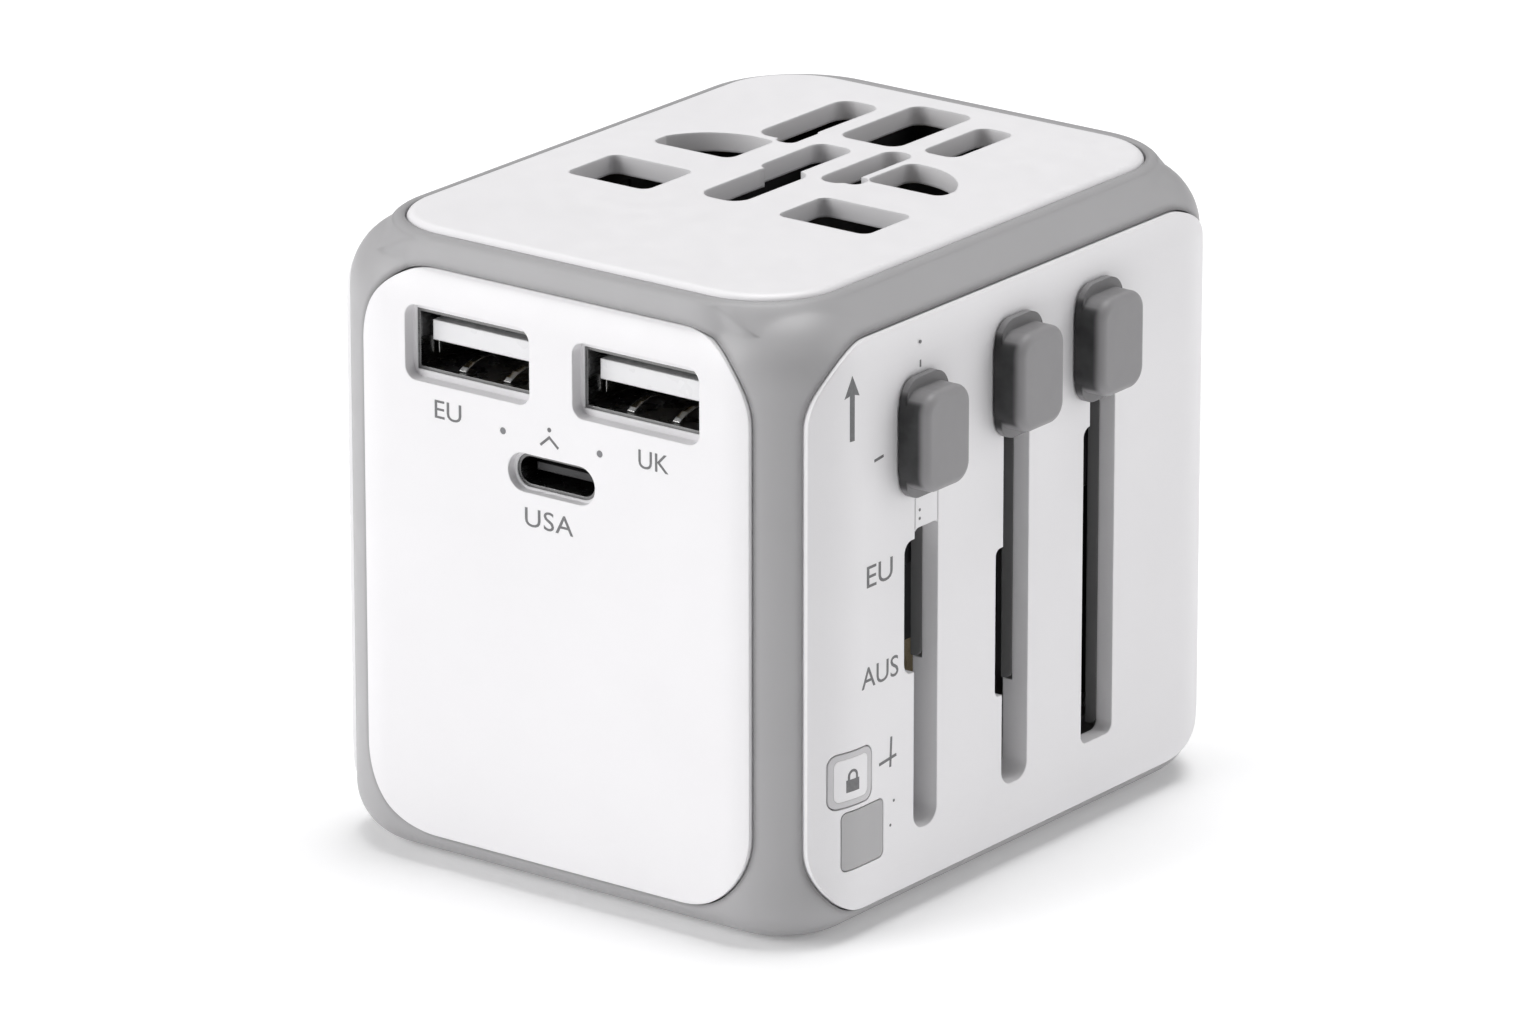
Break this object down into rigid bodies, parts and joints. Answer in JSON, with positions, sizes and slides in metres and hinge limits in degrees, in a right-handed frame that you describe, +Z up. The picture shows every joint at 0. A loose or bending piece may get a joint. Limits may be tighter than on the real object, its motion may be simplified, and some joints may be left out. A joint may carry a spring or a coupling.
{
  "type": "universal travel adapter",
  "caption": "Rounded cube travel adapter: inlaid panels, USB-A and USB-C ports, multi-standard socket, finger sliders for stowed plug pins, release button and fuse drawer.",
  "frame": {"origin": "centre of the flat base the body rests on", "axes": "+X the side with the finger sliders, -Y the front with the USB ports, +Z up through the socket plate"},
  "size_m": [0.0585, 0.0666, 0.0592],
  "materials": {
    "frame_grey": "satin, fine moulded texture",
    "panel_white": "satin, fine moulded texture",
    "knob_grey": "satin",
    "inner_black": "matte",
    "shutter_grey": "matte",
    "steel": "drawn wire and turned steel",
    "nickel": "nickel plated",
    "brass": "bare drawn brass",
    "tongue_white": "moulded",
    "tongue_black": "moulded",
    "light_pipe": "polished",
    "board_green": "solder resist",
    "winding_tape": "tape",
    "capacitor_sleeve": "shrink sleeve",
    "ferrite": "pressed ferrite",
    "ceramic": "glazed"
  },
  "bodies": {
    "body": {"outer_frame": "frame_grey", "base_plate": "frame_grey", "base_screws": "steel", "socket_plate": "panel_white", "front_panel": "panel_white", "slider_panel": "panel_white", "left_panel": "panel_white", "rear_panel": "panel_white", "chassis_deck": "inner_black", "guide_rods": "steel", "socket_block": "inner_black", "live_contact": "brass", "neutral_contact": "brass", "earth_contact": "brass", "shutter_spring": "steel", "main_board": "board_green", "usb_a_shell_left": "nickel", "usb_a_shell_right": "nickel", "usb_a_tongue_left": "tongue_white", "usb_a_tongue_right": "tongue_white", "usb_a_contacts": "brass", "usb_c_shell": "nickel", "usb_c_tongue": "tongue_black", "indicator_pipes": "light_pipe", "transformer": "winding_tape", "filter_capacitors": "capacitor_sleeve", "choke": "ferrite", "live_rail": "brass", "neutral_rail": "brass", "button_spring": "steel", "button_bracket": "inner_black", "fuse_holder": "inner_black", "fuse_clips": "brass"},
    "eu_slider": {"eu_knob": "knob_grey", "eu_carriage": "inner_black", "eu_insert": "panel_white", "eu_live_pin": "nickel", "eu_neutral_pin": "nickel", "eu_sleeves": "inner_black"},
    "us_slider": {"us_knob": "knob_grey", "us_carriage": "inner_black"},
    "us_live_twist": {"us_live_blade": "nickel", "us_live_hub": "inner_black"},
    "us_neutral_twist": {"us_neutral_blade": "nickel", "us_neutral_hub": "inner_black"},
    "uk_slider": {"uk_knob": "knob_grey", "uk_carriage": "inner_black", "uk_live_pin": "brass", "uk_neutral_pin": "brass", "uk_earth_pin": "brass", "uk_sleeves": "inner_black"},
    "release_button": {"release_button": "frame_grey", "button_cap": "panel_white"},
    "fuse_drawer": {"fuse_drawer": "frame_grey", "fuse_tube": "ceramic", "fuse_caps": "nickel"},
    "safety_shutter": {"safety_shutter": "shutter_grey"}
  },
  "joints": [
    {"name": "eu_slide", "type": "slide", "parent": "body", "child": "eu_slider", "axis": [0, 0, -1], "range_m": [0, 0.027]},
    {"name": "us_slide", "type": "slide", "parent": "body", "child": "us_slider", "axis": [0, 0, -1], "range_m": [0, 0.027]},
    {"name": "us_live_twist", "type": "hinge", "parent": "us_slider", "child": "us_live_twist", "pos_m": [-0.00635, -0.0066, 0.0323], "axis": [0, 0, 1], "range_deg": [-30, 0]},
    {"name": "us_neutral_twist", "type": "hinge", "parent": "us_slider", "child": "us_neutral_twist", "pos_m": [0.00635, -0.0066, 0.0323], "axis": [0, 0, 1], "range_deg": [0, 30]},
    {"name": "uk_slide", "type": "slide", "parent": "body", "child": "uk_slider", "axis": [0, 0, -1], "range_m": [0, 0.027]},
    {"name": "release_press", "type": "slide", "parent": "body", "child": "release_button", "axis": [-1, 0, 0], "range_m": [0, 0.0012], "stiffness_N_per_m": 300, "springref_m": -0.0003, "deforming": ["button_spring"]},
    {"name": "fuse_drawer_slide", "type": "slide", "parent": "body", "child": "fuse_drawer", "axis": [1, 0, 0], "range_m": [0, 0.023]},
    {"name": "shutter_slide", "type": "slide", "parent": "body", "child": "safety_shutter", "axis": [0, -1, 0], "range_m": [0, 0.006], "stiffness_N_per_m": 20, "springref_m": -0.001, "deforming": ["shutter_spring"]}
  ]
}
